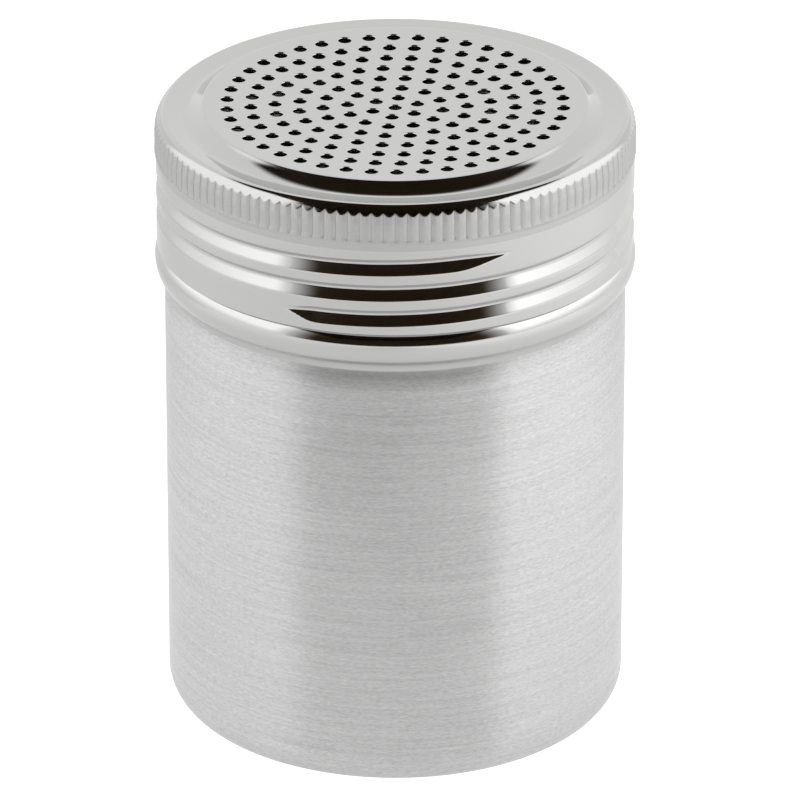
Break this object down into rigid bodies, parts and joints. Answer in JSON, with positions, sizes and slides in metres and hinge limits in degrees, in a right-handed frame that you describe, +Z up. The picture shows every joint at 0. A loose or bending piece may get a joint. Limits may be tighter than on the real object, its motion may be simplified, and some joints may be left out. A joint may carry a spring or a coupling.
{
  "type": "shaker",
  "caption": "Cylindrical steel table shaker: drawn can with a bead and screw neck, and a fluted screw-on lid with a dished, finely perforated top.",
  "frame": {"origin": "middle of the can's flat base, on the surface it stands on", "axes": "+Z up along the can's axis through the lid; -Y is the front of the picture"},
  "size_m": [0.0708, 0.0708, 0.0956],
  "materials": {
    "can_steel": "satin, brushed round the can",
    "lid_steel": "bright polished stainless steel",
    "washer_rubber": "matt"
  },
  "bodies": {
    "can": {"can": "can_steel"},
    "washer": {"sealing_washer": "washer_rubber"},
    "lid": {"lid": "lid_steel"}
  },
  "joints": [
    {"name": "lid_rise", "type": "slide", "parent": "can", "child": "washer", "axis": [0, 0, 1], "range_m": [0, 0.008]},
    {"name": "lid_turn", "type": "hinge", "parent": "washer", "child": "lid", "pos_m": [0, 0, 0.085], "axis": [0, 0, 1], "range_deg": [0, 720]}
  ],
  "couplings": [
    {"joint": "lid_rise", "follows": "lid_turn", "m_per_rad": 0.00063662}
  ]
}
